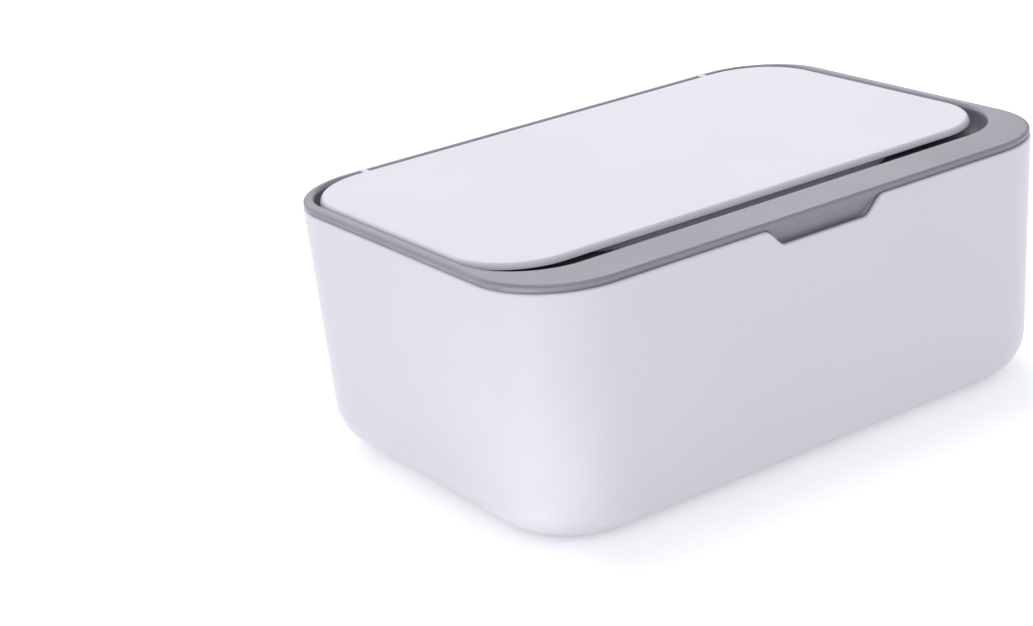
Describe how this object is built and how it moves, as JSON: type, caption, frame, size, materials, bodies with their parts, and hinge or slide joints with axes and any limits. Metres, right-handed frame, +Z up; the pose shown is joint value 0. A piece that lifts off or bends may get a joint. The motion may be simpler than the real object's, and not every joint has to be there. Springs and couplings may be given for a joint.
{
  "type": "refillable tissue box",
  "caption": "Low rounded white tub with a grey lift-off cover frame, a soft slotted mouth and a white hinged flip lid that seals over it; finger notch in the front rim.",
  "frame": {"origin": "on the ground under the middle of the closed box", "axes": "+X along the box's long side towards the box's left hand (the right in the picture), +Y from the notched front to the hinge side, +Z up"},
  "size_m": [0.22, 0.156, 0.0888],
  "materials": {
    "white_shell": "moulded polypropylene with a soft satin shine",
    "grey_shell": "moulded polypropylene, finely textured",
    "silicone": "light grey silicone",
    "soft_mouth": "soft moulded silicone, near white",
    "foot_rubber": "mid grey anti-slip rubber"
  },
  "bodies": {
    "base": {"tub": "white_shell", "foot_front_left": "foot_rubber", "foot_front_right": "foot_rubber", "foot_back_left": "foot_rubber", "foot_back_right": "foot_rubber"},
    "cover": {"cover_frame": "grey_shell", "cover_gasket": "silicone", "dispensing_mouth": "soft_mouth"},
    "flip_lid": {"lid": "white_shell", "lid_seal": "silicone"}
  },
  "joints": [
    {"name": "cover_lift", "type": "slide", "parent": "base", "child": "cover", "axis": [0, 0, 1], "range_m": [0, 0.04]},
    {"name": "lid_hinge", "type": "hinge", "parent": "cover", "child": "flip_lid", "pos_m": [0, 0.07485, 0.0871], "axis": [-1, 0, 0], "range_deg": [0, 105]}
  ]
}
